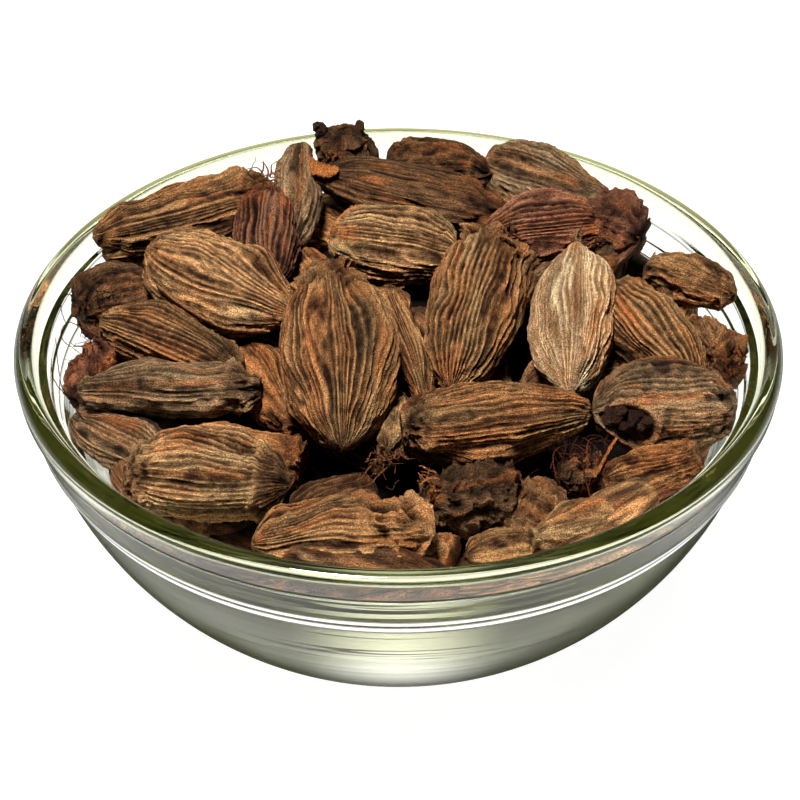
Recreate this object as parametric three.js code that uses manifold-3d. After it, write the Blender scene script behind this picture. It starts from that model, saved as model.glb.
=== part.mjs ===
// Black cardamom pods heaped in a round glass bowl.
// Millimetres, +Z up. The bowl's axis is the Z axis and it stands on z = 0.
import * as THREE from "three";
import { mergeVertices } from "three/addons/utils/BufferGeometryUtils.js";
import Module from "manifold-3d";

const wasm = await Module();
wasm.setup();

// Bowl: a pressed-glass wall that follows a sphere up to a rounded rim, and thickens inwards
// below the rim's band.
const RIM_RADIUS = 65;
const BOWL_HEIGHT = 50;
const BODY_RADIUS = 64;
const BODY_CENTRE_Z = 53.4;
const WALL = 4;
const LEDGE_Z = 37;
const LEDGE_STEP = 0.5;
const BEAD_HEIGHT = 6;
const BEAD_GROOVE = 0.3;
const RIM_ROUND = 1.7;
const RIM_WIDTH = 3.8;
const FOOT_OUTER = 33.5;
const FOOT_INNER = 28;
const FOOT_RECESS = 0.8;
const FOOT_ROUND = 0.6;
const FLOOR_Z = 7;
const FLOOR_RADIUS = 34;
const THICK_BELOW_Z = BOWL_HEIGHT - BEAD_HEIGHT;
const THICK_TURN = THREE.MathUtils.degToRad(21);
const THICK_ARC = 100;
const BOWL_SEGMENTS = 38;
const WALL_STEPS = 7;
const BAND_STEPS = 1;

// Heap: the inside of the bowl less a gap, a core under the pods, and the pods.
const CAVITY_RADIUS = BODY_RADIUS - WALL;
const GLASS_GAP = 1;
const CORE_INSET = 6;
const CORE_SIDE_INSET = 7.2;
const CORE_FOOT_Z = 9;
const CORE_STEP = 6;
const CORE_EDGE_Z = 33;
const CORE_TOP_Z = 46;
const CORE_TOP_POWER = 3.4;
const CORE_TOP_SLOPE = 0.22;
const CORE_TOP_SHARES = [1, 0.93, 0.85, 0.65, 0.4, 0];
const CORE_SEGMENTS = 16;

// A pod: a spindle with three soft lobes, blunter and crowned at its calyx end.
const POD_SIDES = 10;
const SMALL_POD = 10;
const SMALL_POD_SIDES = 8;
const UNDER_POD_RINGS = 4;
const POD_RINGS = 6;
const POD_LOBE = 0.06;
const POD_BLUNT = 0.35;
const CROWN_START = 0.9;
const CROWN_DEPTH = 0.2;
const GOLDEN_TURN = Math.PI * (3 - Math.sqrt(5));

// The broad side of a pod in the heap faces forwards and up.
const HEAP_FACE = new THREE.Vector3(0, -0.79, 0.61);

// Pods that lean on the glass below the top of the heap, in level rows.
const WALL_ROWS = [
  { z: 13, pods: 7, tilt: 0.15 },
  { z: 22, pods: 8, tilt: 0.5 },
  { z: 30, pods: 9, tilt: 0.6 },
  { z: 38, pods: 10, tilt: 0.3 },
];
const WALL_POD = { long: 28, wide: 12, deep: 10 };
const WALL_POD_SIDES = 7;
const WALL_POD_RINGS = 4;

// The pods on top, from the stalk end to the calyx end of each, chosen by hand from the photo.
const PODS = [
  { name: "centre_big", from: [-9, -30, 47], to: [-12, 3, 60], wide: 19, deep: 15 },
  { name: "centre_shaggy", from: [8.5, -16, 48], to: [16, 13.5, 59], wide: 16.5, deep: 13 },
  { name: "pale_upright", from: [28.5, -16.5, 48], to: [31, 15, 56], wide: 14.8, deep: 13 },
  { name: "front_right_big", from: [31.5, -23.5, 50], to: [0.5, -27.5, 49], wide: 13.2, deep: 12 },
  { name: "right_split", from: [31.5, -22.5, 49], to: [55, -19, 47.5], wide: 14.5, deep: 13 },
  { name: "left_plump", from: [-17, -4.5, 55], to: [-42.5, 14.5, 55], wide: 15, deep: 13 },
  { name: "front_left_big", from: [-17, -39, 47], to: [-43.5, -35, 45.5], wide: 16, deep: 13 },
  { name: "upper_round", from: [10.5, 15, 54], to: [-11.5, 20.5, 54], wide: 14.5, deep: 13 },
  { name: "left_ribbed", from: [-50.5, 2, 50], to: [-26.5, -10.5, 48], wide: 12.5, deep: 11 },
  { name: "right_red", from: [15, 20.5, 54], to: [36.5, 24, 55], wide: 12.5, deep: 11.5 },
  { name: "right_red_calyx", from: [32.5, 26, 55], to: [42.5, 20.5, 53], wide: 10.5, deep: 10 },
  { name: "back_left_long", from: [-54, 23.5, 52], to: [-23.5, 35, 54], wide: 12.5, deep: 11 },
  { name: "back_left_under", from: [-52.5, 23.5, 48], to: [-29.5, 33, 49], wide: 9, deep: 8 },
  { name: "back_long_dark", from: [-17.5, 38, 57], to: [19, 29, 53], wide: 10.5, deep: 10 },
  { name: "back_wrinkled", from: [17.5, 42.5, 53], to: [-2.5, 45, 52], wide: 12, deep: 11 },
  { name: "back_right_smooth", from: [38.5, 33, 52], to: [16, 47.5, 52], wide: 13, deep: 11 },
  { name: "back_knob", from: [-8.5, 43, 50], to: [-10, 43, 64], wide: 11, deep: 9 },
  { name: "upright_red", from: [-23.5, 11, 50], to: [-22.5, 32.5, 56], wide: 11, deep: 10 },
  { name: "upright_sliver", from: [-19, 23, 50], to: [-17.5, 44.5, 58], wide: 7.5, deep: 8 },
  { name: "left_edge", from: [-42.5, 16, 46], to: [-55.5, 8, 47], wide: 12.5, deep: 11 },
  { name: "left_edge_fibres", from: [-49, -1, 46], to: [-54.5, -11, 42], wide: 7, deep: 7 },
  { name: "left_flat_grey", from: [-53, -14.5, 47], to: [-22.5, -16, 49], wide: 8, deep: 8.5 },
  { name: "left_rim", from: [-54.4, -16, 42.5], to: [-38, -25.5, 40], wide: 10.5, deep: 9 },
  { name: "front_left_fringe", from: [-36, -22.5, 42.5], to: [-15.5, -27, 41.5], wide: 9, deep: 9 },
  { name: "front_fringed", from: [-23, -47.5, 42], to: [5.5, -44.5, 42], wide: 12, deep: 11 },
  { name: "front_behind", from: [-17.5, -36, 37], to: [-4, -28.5, 37], wide: 10, deep: 9 },
  { name: "centre_slender", from: [5, -18.5, 47], to: [-2, 5.5, 53], wide: 7, deep: 8 },
  { name: "right_lump", from: [33.5, 21.5, 49], to: [39.5, 18.5, 49], wide: 8.5, deep: 8 },
  { name: "right_grey_strip", from: [20.5, 11.5, 47], to: [34, 21, 50], wide: 8, deep: 7.5 },
  { name: "right_diagonal", from: [50, -15, 47], to: [36.5, 7.5, 52], wide: 11.5, deep: 10.5 },
  { name: "centre_left_ribbed", from: [-26.5, 0.5, 47], to: [-16, -20, 43], wide: 10, deep: 9 },
  { name: "husk_under_centre", from: [-20, -12, 43], to: [-2, -26.5, 40], wide: 7, deep: 7 },
  { name: "striped_stalk", from: [0, -14.5, 46], to: [-2, -28.5, 44], wide: 5, deep: 8 },
  { name: "front_ball", from: [4, -38, 42], to: [18.5, -32, 40], wide: 12, deep: 11 },
  { name: "front_lump", from: [17.5, -31.5, 38], to: [26, -39, 38], wide: 9.5, deep: 9 },
  { name: "front_right_fibres", from: [25.5, -29.5, 40], to: [34, -28.5, 40], wide: 8, deep: 8 },
  { name: "front_right_pale", from: [38, -38, 40], to: [21, -44.5, 41], wide: 8.5, deep: 8 },
  { name: "right_front_tan", from: [33, -32, 42], to: [49, -29, 44], wide: 8.5, deep: 8 },
  { name: "right_back_knobby", from: [58, 7.5, 51], to: [43, 14.5, 51], wide: 9, deep: 9 },
  { name: "right_ragged_calyx", from: [50, 2, 48], to: [55, -9, 47], wide: 11, deep: 11 },
  { name: "gap_back_red", from: [-18.5, 41, 46], to: [-8.5, 30, 47], wide: 9, deep: 9 },
  { name: "gap_orange", from: [-19, 29, 46], to: [-11, 13, 46], wide: 8, deep: 8 },
  { name: "gap_sliver", from: [19.5, 10.5, 38], to: [24, -1, 38], wide: 7, deep: 7 },
  { name: "front_crumb", from: [4, -42.5, 36], to: [9, -44.5, 36], wide: 6, deep: 6 },
  { name: "front_low", from: [10.5, -43.5, 36], to: [22.5, -42, 36], wide: 7, deep: 7 },
];

// Pods that fill the gaps below and behind those, with fewer sides.
const UNDER_PODS = [
  { name: "under_back", from: [-8, 27, 47], to: [17, 36, 47], wide: 12, deep: 10 },
  { name: "under_back_left", from: [-45, 24, 45], to: [-27, 20, 46], wide: 11, deep: 10 },
  { name: "under_right", from: [42, -1, 43], to: [21, -8, 42], wide: 11, deep: 10 },
  { name: "under_centre", from: [18, -10, 43], to: [2, 8, 46], wide: 12, deep: 10 },
  { name: "under_centre_left", from: [-2, -18, 42], to: [-20, -2, 46], wide: 12, deep: 10 },
  { name: "under_left", from: [-50, -5, 42], to: [-29, 2, 43], wide: 11, deep: 10 },
  { name: "under_front_left", from: [-40, -30, 36], to: [-22, -32, 36], wide: 11, deep: 10 },
  { name: "under_front", from: [6, -16, 40], to: [24, -21, 40], wide: 11, deep: 10 },
  { name: "under_front_right", from: [26, -34, 34], to: [44, -26, 36], wide: 11, deep: 10 },
  { name: "under_far_right", from: [50, 17, 43], to: [44, 2, 44], wide: 11, deep: 10 },
  { name: "behind_left", from: [-40, 33, 46], to: [-22, 48.5, 45], wide: 11, deep: 10 },
  { name: "behind_centre", from: [-20, 48, 39.5], to: [4, 50.5, 40.5], wide: 11, deep: 10 },
  { name: "behind_right", from: [8, 52, 42], to: [32, 42, 43], wide: 11, deep: 10 },
  { name: "behind_far_right", from: [30.4, 39.3, 36], to: [45.3, 21.5, 35], wide: 11, deep: 10 },
];

function sphereRadiusAt(radius, z) {
  return Math.sqrt(radius ** 2 - (z - BODY_CENTRE_Z) ** 2);
}

// How far the inside leans out from upright at a height below the rim's band.
function insideLean(z) {
  return Math.asin(Math.sin(THICK_TURN) + (THICK_BELOW_Z - z) / THICK_ARC);
}

// The inside's radius at a height below the rim's band, less an inset square to the wall.
function insideRadius(z, inset) {
  const hub = sphereRadiusAt(CAVITY_RADIUS, THICK_BELOW_Z) - THICK_ARC * Math.cos(THICK_TURN);
  const rise = THICK_ARC * Math.sin(insideLean(z));
  return hub + Math.sqrt((THICK_ARC - inset) ** 2 - rise ** 2);
}

// Points of an outline between two heights, both ends included, from its radius at a height.
function outlineArc(radiusAt, fromZ, toZ, steps) {
  return Array.from({ length: steps + 1 }, (_, i) => {
    const z = fromZ + ((toZ - fromZ) * i) / steps;
    return [radiusAt(z), z];
  });
}

// A body turned about the Z axis from [radius, height] points.
function turned(points, segments) {
  const outline = points.map(([r, z]) => new THREE.Vector2(r, z));
  return new THREE.LatheGeometry(outline, segments).rotateX(Math.PI / 2);
}

// A quarter of the rim's rounding about [radius, BOWL_HEIGHT - RIM_ROUND], from an angle on.
function rimRound(radius, startAngle) {
  return [0, 1, 2, 3].map((i) => {
    const angle = startAngle + (i * Math.PI) / 6;
    const z = BOWL_HEIGHT - RIM_ROUND + RIM_ROUND * Math.sin(angle);
    return [radius + RIM_ROUND * Math.cos(angle), z];
  });
}

function bowlGeometry() {
  const beadZ = BOWL_HEIGHT - BEAD_HEIGHT;
  const wallAt = (z) => sphereRadiusAt(BODY_RADIUS, z);
  const lowerWallAt = (z) => sphereRadiusAt(BODY_RADIUS - LEDGE_STEP, z);
  const bandAt = (z) => sphereRadiusAt(CAVITY_RADIUS, z);
  const thickWallAt = (z) => insideRadius(z, 0);
  const outside = [
    [0, FOOT_RECESS],
    [FOOT_INNER - FOOT_RECESS, FOOT_RECESS],
    [FOOT_INNER, 0],
    [FOOT_OUTER, 0],
    ...outlineArc(lowerWallAt, FOOT_ROUND, LEDGE_Z - LEDGE_STEP, WALL_STEPS),
    [wallAt(LEDGE_Z), LEDGE_Z],
    [wallAt(beadZ), beadZ - BEAD_GROOVE],
    [wallAt(beadZ) - BEAD_GROOVE, beadZ],
    [wallAt(beadZ) + BEAD_GROOVE, beadZ + BEAD_GROOVE],
    [RIM_RADIUS - BEAD_GROOVE, beadZ + BEAD_HEIGHT / 3],
  ];
  const rim = [
    ...rimRound(RIM_RADIUS - RIM_ROUND, 0),
    ...rimRound(RIM_RADIUS - RIM_WIDTH + RIM_ROUND, Math.PI / 2),
  ];
  const inside = [
    ...outlineArc(bandAt, BOWL_HEIGHT - 2 * RIM_ROUND, beadZ + BEAD_GROOVE, BAND_STEPS),
    ...outlineArc(thickWallAt, THICK_BELOW_Z, FLOOR_Z + FOOT_ROUND, WALL_STEPS),
    [FLOOR_RADIUS, FLOOR_Z],
    [0, FLOOR_Z],
  ];
  return turned([...outside, ...rim, ...inside], BOWL_SEGMENTS);
}

// The radius along a pod, as a share of its widest: 0 at both tips, fuller near the calyx.
function podRadius(t) {
  return Math.sqrt(4 * t * (1 - t)) * (1 + POD_BLUNT * (t - 0.5));
}

function podGeometry({ from, to, wide, deep, roll, face }, sides, rings) {
  const start = new THREE.Vector3(...from);
  const along = new THREE.Vector3(...to).sub(start);
  const across = new THREE.Vector3().crossVectors(face, along).setLength(wide / 2);
  const outward = new THREE.Vector3().crossVectors(along, across).setLength(deep / 2);
  const geometry = new THREE.SphereGeometry(1, sides, rings);
  const position = geometry.getAttribute("position");
  const point = new THREE.Vector3();
  for (let i = 0; i < position.count; i += 1) {
    point.fromBufferAttribute(position, i);
    const t = THREE.MathUtils.clamp((1 - point.y) / 2, 0, 1);
    const angle = Math.atan2(point.z, point.x);
    const crown = t > CROWN_START ? CROWN_DEPTH * Math.cos((sides / 2) * angle) : 0;
    const radius = podRadius(t) * (1 + POD_LOBE * Math.cos(3 * angle + roll) + crown);
    point
      .copy(start)
      .addScaledVector(along, t)
      .addScaledVector(across, radius * Math.cos(angle))
      .addScaledVector(outward, radius * Math.sin(angle));
    position.setXYZ(i, point.x, point.y, point.z);
  }
  return geometry;
}

// Pods lying against the glass: each row steps round the bowl, every pod tilted its own way.
function wallPods() {
  const { long, wide, deep } = WALL_POD;
  const inset = GLASS_GAP + deep / 2;
  const pods = [];
  for (const { z, pods: count, tilt: mostTilt } of WALL_ROWS) {
    for (let i = 0; i < count; i += 1) {
      const turn = pods.length * GOLDEN_TURN;
      const azimuth = ((i + 0.5 * Math.sin(turn) ** 2) * 2 * Math.PI) / count;
      const out = new THREE.Vector3(Math.cos(azimuth), Math.sin(azimuth), 0);
      const lean = insideLean(z);
      const centre = out.clone().multiplyScalar(insideRadius(z, inset)).setZ(z);
      const face = out.clone().multiplyScalar(Math.cos(lean)).setZ(-Math.sin(lean));
      const level = new THREE.Vector3(-Math.sin(azimuth), Math.cos(azimuth), 0);
      const rising = new THREE.Vector3().crossVectors(face, level);
      const tilt = mostTilt * Math.sin(turn);
      const half = level
        .multiplyScalar(Math.cos(tilt))
        .addScaledVector(rising, Math.sin(tilt))
        .multiplyScalar(long / 2);
      const from = centre.clone().sub(half).toArray();
      const to = centre.clone().add(half).toArray();
      pods.push({ from, to, wide, deep, roll: turn, face });
    }
  }
  return pods;
}

// The core under the pods: it follows the bowl inside, and its top rises towards the back.
function coreGeometry() {
  const edge = insideRadius(CORE_EDGE_Z, CORE_INSET);
  const side = [[0, CORE_FOOT_Z]];
  for (let z = CORE_FOOT_Z; z < CORE_EDGE_Z; z += CORE_STEP) {
    side.push([insideRadius(z, CORE_SIDE_INSET), z]);
  }
  const top = CORE_TOP_SHARES.map((share) => {
    const rise = (CORE_TOP_Z - CORE_EDGE_Z) * (1 - share ** CORE_TOP_POWER);
    return [edge * share, CORE_EDGE_Z + rise];
  });
  const geometry = turned([...side, ...top], CORE_SEGMENTS);
  const position = geometry.getAttribute("position");
  for (let i = 0; i < position.count; i += 1) {
    const rise = Math.max(position.getZ(i) - CORE_EDGE_Z, 0) / (CORE_TOP_Z - CORE_EDGE_Z);
    position.setZ(i, position.getZ(i) + CORE_TOP_SLOPE * position.getY(i) * rise);
  }
  return geometry;
}

function solidOf(geometry) {
  const bare = new THREE.BufferGeometry();
  bare.setAttribute("position", geometry.getAttribute("position"));
  bare.setIndex(geometry.index);
  const merged = mergeVertices(bare, 1e-3);
  const mesh = new wasm.Mesh({
    numProp: 3,
    vertProperties: merged.getAttribute("position").array,
    triVerts: new Uint32Array(merged.index.array),
  });
  return new wasm.Manifold(mesh);
}

function geometryOf(solid) {
  const mesh = solid.getMesh();
  const geometry = new THREE.BufferGeometry();
  geometry.setAttribute("position", new THREE.BufferAttribute(mesh.vertProperties, 3));
  geometry.setIndex(new THREE.BufferAttribute(mesh.triVerts, 1));
  geometry.computeVertexNormals();
  return geometry;
}

// The largest outer shell of a solid: sealed hollows are filled and loose scraps dropped.
function largestShell(solid) {
  return solid.decompose().reduce((a, b) => (b.volume() > a.volume() ? b : a));
}

function heapGeometry() {
  let heap = solidOf(coreGeometry());
  wallPods().forEach((pod) => {
    heap = heap.add(solidOf(podGeometry(pod, WALL_POD_SIDES, WALL_POD_RINGS)));
  });
  UNDER_PODS.forEach((pod, i) => {
    const placed = { ...pod, roll: i * GOLDEN_TURN, face: HEAP_FACE };
    heap = heap.add(solidOf(podGeometry(placed, SMALL_POD_SIDES, UNDER_POD_RINGS)));
  });
  PODS.forEach((pod, i) => {
    const placed = { ...pod, roll: i * GOLDEN_TURN, face: HEAP_FACE };
    const sides = pod.wide < SMALL_POD ? SMALL_POD_SIDES : POD_SIDES;
    heap = heap.add(solidOf(podGeometry(placed, sides, POD_RINGS)));
  });
  return geometryOf(largestShell(heap));
}

function glassMaterial() {
  return new THREE.MeshStandardMaterial({
    color: 0xd3dccb,
    roughness: 0.05,
    metalness: 0,
    transparent: true,
    opacity: 0.35,
  });
}

function podMaterial() {
  return new THREE.MeshStandardMaterial({
    color: 0x6a482f,
    roughness: 0.85,
    metalness: 0,
    flatShading: true,
  });
}

function namedMesh(name, geometry, material) {
  const mesh = new THREE.Mesh(geometry, material);
  mesh.name = name;
  return mesh;
}

const bowlOfCardamom = new THREE.Group();
bowlOfCardamom.add(
  namedMesh("bowl", bowlGeometry(), glassMaterial()),
  namedMesh("cardamom_heap", heapGeometry(), podMaterial()),
);

export default bowlOfCardamom;
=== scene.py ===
"""Looks of the bowl of black cardamom: glass bowl, pods, husks, fibres and seeds, the floor and the light.

The layout repeats the part's own, in millimetres. Every mesh is made in metres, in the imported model's frame.
"""

import itertools
import math

import bpy
import numpy as np
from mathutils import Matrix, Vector


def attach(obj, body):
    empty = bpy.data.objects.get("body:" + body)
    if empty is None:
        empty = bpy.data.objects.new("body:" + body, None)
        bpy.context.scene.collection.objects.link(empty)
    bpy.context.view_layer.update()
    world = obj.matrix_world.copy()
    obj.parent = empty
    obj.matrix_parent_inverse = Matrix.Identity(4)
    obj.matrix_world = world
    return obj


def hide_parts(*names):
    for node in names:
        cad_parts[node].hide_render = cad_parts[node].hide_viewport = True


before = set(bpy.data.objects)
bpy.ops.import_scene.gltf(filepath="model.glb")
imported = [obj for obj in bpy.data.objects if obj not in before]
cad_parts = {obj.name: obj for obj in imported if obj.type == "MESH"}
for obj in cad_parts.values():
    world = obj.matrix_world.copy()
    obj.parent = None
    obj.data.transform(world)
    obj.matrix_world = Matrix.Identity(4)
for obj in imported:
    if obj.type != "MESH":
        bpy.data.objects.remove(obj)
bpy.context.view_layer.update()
MM = 0.001

# The bowl, as in the part's source.
RIM_RADIUS = 65.0
BOWL_HEIGHT = 50.0
BODY_RADIUS = 64.0
BODY_CENTRE_Z = 53.4
WALL = 4.0
LEDGE_Z = 37.0
LEDGE_STEP = 0.5
BEAD_HEIGHT = 6.0
BEAD_GROOVE = 0.3
RIM_ROUND = 1.7
RIM_WIDTH = 3.8
FOOT_OUTER = 33.5
FOOT_INNER = 28.0
FOOT_RECESS = 0.8
FOOT_ROUND = 0.6
FLOOR_Z = 7.0
FLOOR_RADIUS = 34.0
CAVITY_RADIUS = BODY_RADIUS - WALL
THICK_BELOW_Z = 44.0
THICK_TURN = math.radians(21)
THICK_ARC = 100.0
THICK_ARC_Z = THICK_BELOW_Z + THICK_ARC * math.sin(THICK_TURN)
THICK_ARC_RADIUS = (
    math.sqrt(CAVITY_RADIUS**2 - (THICK_BELOW_Z - BODY_CENTRE_Z) ** 2) - THICK_ARC * math.cos(THICK_TURN)
)
GLASS_GAP = 1.0
POD_CLEARANCE = 0.35
BOWL_SEGMENTS = 180
SHARP_EDGE = math.radians(35)
# The rings under and over the ledge: half height, depth and rise from the ledge.
RING_HALF = 0.95
RING_DEPTH = 0.25
RING_RISES = (-0.5, 1.9)

# The glass: what its depth takes from light, its surface on the wall and on the rim, and ripples round it.
GLASS_IOR = 1.5
GLASS_TINT = (0.4, 0.41, 0.06, 1)
GLASS_DENSITY = 21.0
CLEAR_GLASS = (0.98, 0.99, 0.97, 1)
RIM_GLASS = (0.8, 0.83, 0.56, 1)
RIM_TINT_Z = (45.5, 48.5)
SHADOW_GLASS = (0.93, 0.95, 0.91, 1)
RIPPLE_SCALE = (14.0, 14.0, 330.0)
RIPPLE_DEPTH = 0.09
# The outer face is where the distance from the body's centre passes this range.
OUTER_FACE = (CAVITY_RADIUS + 2.3, CAVITY_RADIUS + 2.8)
# Painted highlights on the mould lines, a whitish surface that glows: height, half height and strength, patchy
# with the ripples.
LINE_HIGHLIGHTS = [(38.7, 0.45, 0.8), (36.6, 0.4, 0.8), (43.9, 0.15, 0.1)]
LINE_SOFT = 0.25
LINE_HIGHLIGHT_BASE = (0.9, 0.9, 0.88, 1)
LINE_HIGHLIGHT_GLOW = (1, 1, 0.98, 1)
LINE_STRENGTH = 0.8
LINE_ROUGHNESS = 0.4
PATCH_RIPPLE = (0.25, 0.5)
PATCH_SHARE = (0.45, 1.0)
# Painted shade, a dark olive outline, on the outer face where it turns away: how far the face turns away, the
# share that it reaches and its colour.
EDGE_SHADE_TURN = (0.62, 0.92)
EDGE_SHADE_SHARE = 0.92
EDGE_SHADE_COLOUR = (0.07, 0.075, 0.035, 1)
# A painted glow in the rim's outer edge at the back: where it lies, its colour and its share.
BACK_RIM_Y = (5.0, 55.0)
BACK_RIM_REACH = (62.7, 63.3)
BACK_RIM_Z = (47.6, 48.8)
BACK_RIM_GLOW = (0.66, 0.66, 0.3, 1)
BACK_RIM_SHARE = 0.75

# The camera, fitted to the photo's rim ellipse and outline.
CAMERA_AIM = Vector((0.26, 0.0, 33.9)) * MM
CAMERA_DISTANCE = 430 * MM
CAMERA_ELEVATION = math.radians(37.66)
CAMERA_LENS = 111.4

# The table, in metres, and its brightness as the camera and as the pods see it.
FLOOR_SIZE = 3.0
FLOOR_DROP = 0.0002
FLOOR_GREY = (0.3, 0.3, 0.3, 1)
FLOOR_SEEN = 0.95
FLOOR_TO_PODS = 0.1
# Painted pool of light on the table under the glass, which only the glass sees: place, reach, strength at its
# middle and round it.
GLOW_PLACE = (0.0, -0.036)
GLOW_REACH = (0.021, 0.03)
GLOW_STRENGTH = (1.9, 0.2)
# The table round the bowl as the glass sees it, painted dim under the bowl as its shade: where it brightens,
# and to what.
OPEN_REACH = (0.062, 0.095)
OPEN_STRENGTH = 0.95
# The room as the glass sees it: heights of the direction over which it darkens, and its brightness there.
ROOM_RISE = (0.12, 0.4)
ROOM_STRENGTH = (0.7, 0.01)
ROOM_TO_PODS = 0.01
WHITE = (1, 1, 1, 1)

KEY_PLACE = (-0.12, -0.12, 0.8)
KEY_AIM = (0, 0, 0.04)
KEY_SIZE = (0.15, 0.15)
KEY_POWER = 18

# Light turns many times inside the thick glass before it comes out.
GLASS_BOUNCES = 64
DIFFUSE_BOUNCES = 2

# The core under the pods: a near-black mass, painted shade that shows in the gaps.
CORE_FOOT_Z = 9.0
CORE_EDGE_Z = 31.0
CORE_RISE = 14.0
CORE_SLOPE = 0.3
CORE_INSET = 8
CORE_CREASE = 1.5
CORE_CREASE_SIZE = 9
CORE_TOP_SHARES = np.array([0.93, 0.85, 0.72, 0.56, 0.4, 0.25, 0.1])
CORE_SHADE_COLOUR = (12, 7, 5)
CORE_SEGMENTS = 72

HEAP_FACE = np.array([0.0, -0.79, 0.61])
GOLDEN_TURN = math.pi * (3 - math.sqrt(5))
TOP_Z = 64.0

# Relief of the pods: depths, and lengths along the pod, across it and outward over which each field changes.
RIB_PITCH = 1.05
FEWEST_RIBS = 12
RIB_LIFT = 1.3
RIB_SWAY = (14, 5, 5)
RIB_TREMBLE = (5, 2.2, 2.2)
RIB_BREAK = (11, 1.5, 1.5)
FINE_SWAY = (3, 1.2, 1.2)
FINE_LIFT = 0.14
BAND_SWAY = (8, 99, 99)
BAND_LIFT = 1.4
DENT_SIZE = (9, 6, 6)
DENT_LIFT = 0.9
WARP_SIZE = 3
WARP = 1.3
FOLD_SIZE = (3.6, 2.4, 2.4)
NUB_SIZE = 1.7
BUMP_SIZE = 2.4
SPECKLE_SIZE = 0.55
SPECKLE_LIFT = 0.12
LOBES = 3
LOBE_DEPTH = 0.05
MOST_BEND = 0.7
# Pods with ribs no deeper than this are ragged all over.
LUMP_RIBS = 0.1
LUMP_TORN = 0.65

# Colour fields of the pods: streaks, warm patches, clouds and drifts of hue.
STREAK_SIZE = (12, 1.1, 1.1)
EMBER_SIZE = (9, 1.4, 1.4)
CLOUD_SIZE = (9, 7, 7)
HUE_SIZE = (10, 3, 3)
TONE_CURVE = 1.7

# Husk shading: gloss, fibres along the pod, specks per metre, and bump in millimetres.
HUSK_SPECULAR = 0.08
FIBRE_SCALE = (3.2, 0.5, 1.0)
FIBRE_TONES = (0.4, 1.6)
SPECK_SCALE = 4600.0
SPECK_TONES = (0.15, 2.2)
HUSK_BUMP = 0.45

# Rows of the sunken calyx end: place along the pod and share of its mouth.
MOUTH_ROWS = [(0.998, 0.82), (0.985, 0.55), (0.97, 0.3), (0.965, 0.1)]

# Husk colours, groove and ridge, in sRGB; the dark groove colours carry painted shade as well as the husk's
# own colour.
HUSKS = {
    "tan": ((44, 21, 9), (226, 170, 112)),
    "pale": ((136, 94, 58), (250, 210, 158)),
    "brown": ((36, 15, 6), (204, 146, 92)),
    "dark": ((18, 9, 4), (150, 105, 68)),
    "red": ((34, 13, 8), (178, 116, 82)),
    "grey": ((26, 15, 9), (182, 142, 100)),
    "orange": ((42, 17, 7), (206, 138, 82)),
    "dusky": ((26, 11, 6), (162, 106, 76)),
}
# The warm patches' colour, and how far a drift of hue changes red, green and blue.
EMBER = (186, 108, 54)
REDDER = np.array([0.05, -0.08, -0.16])

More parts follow.
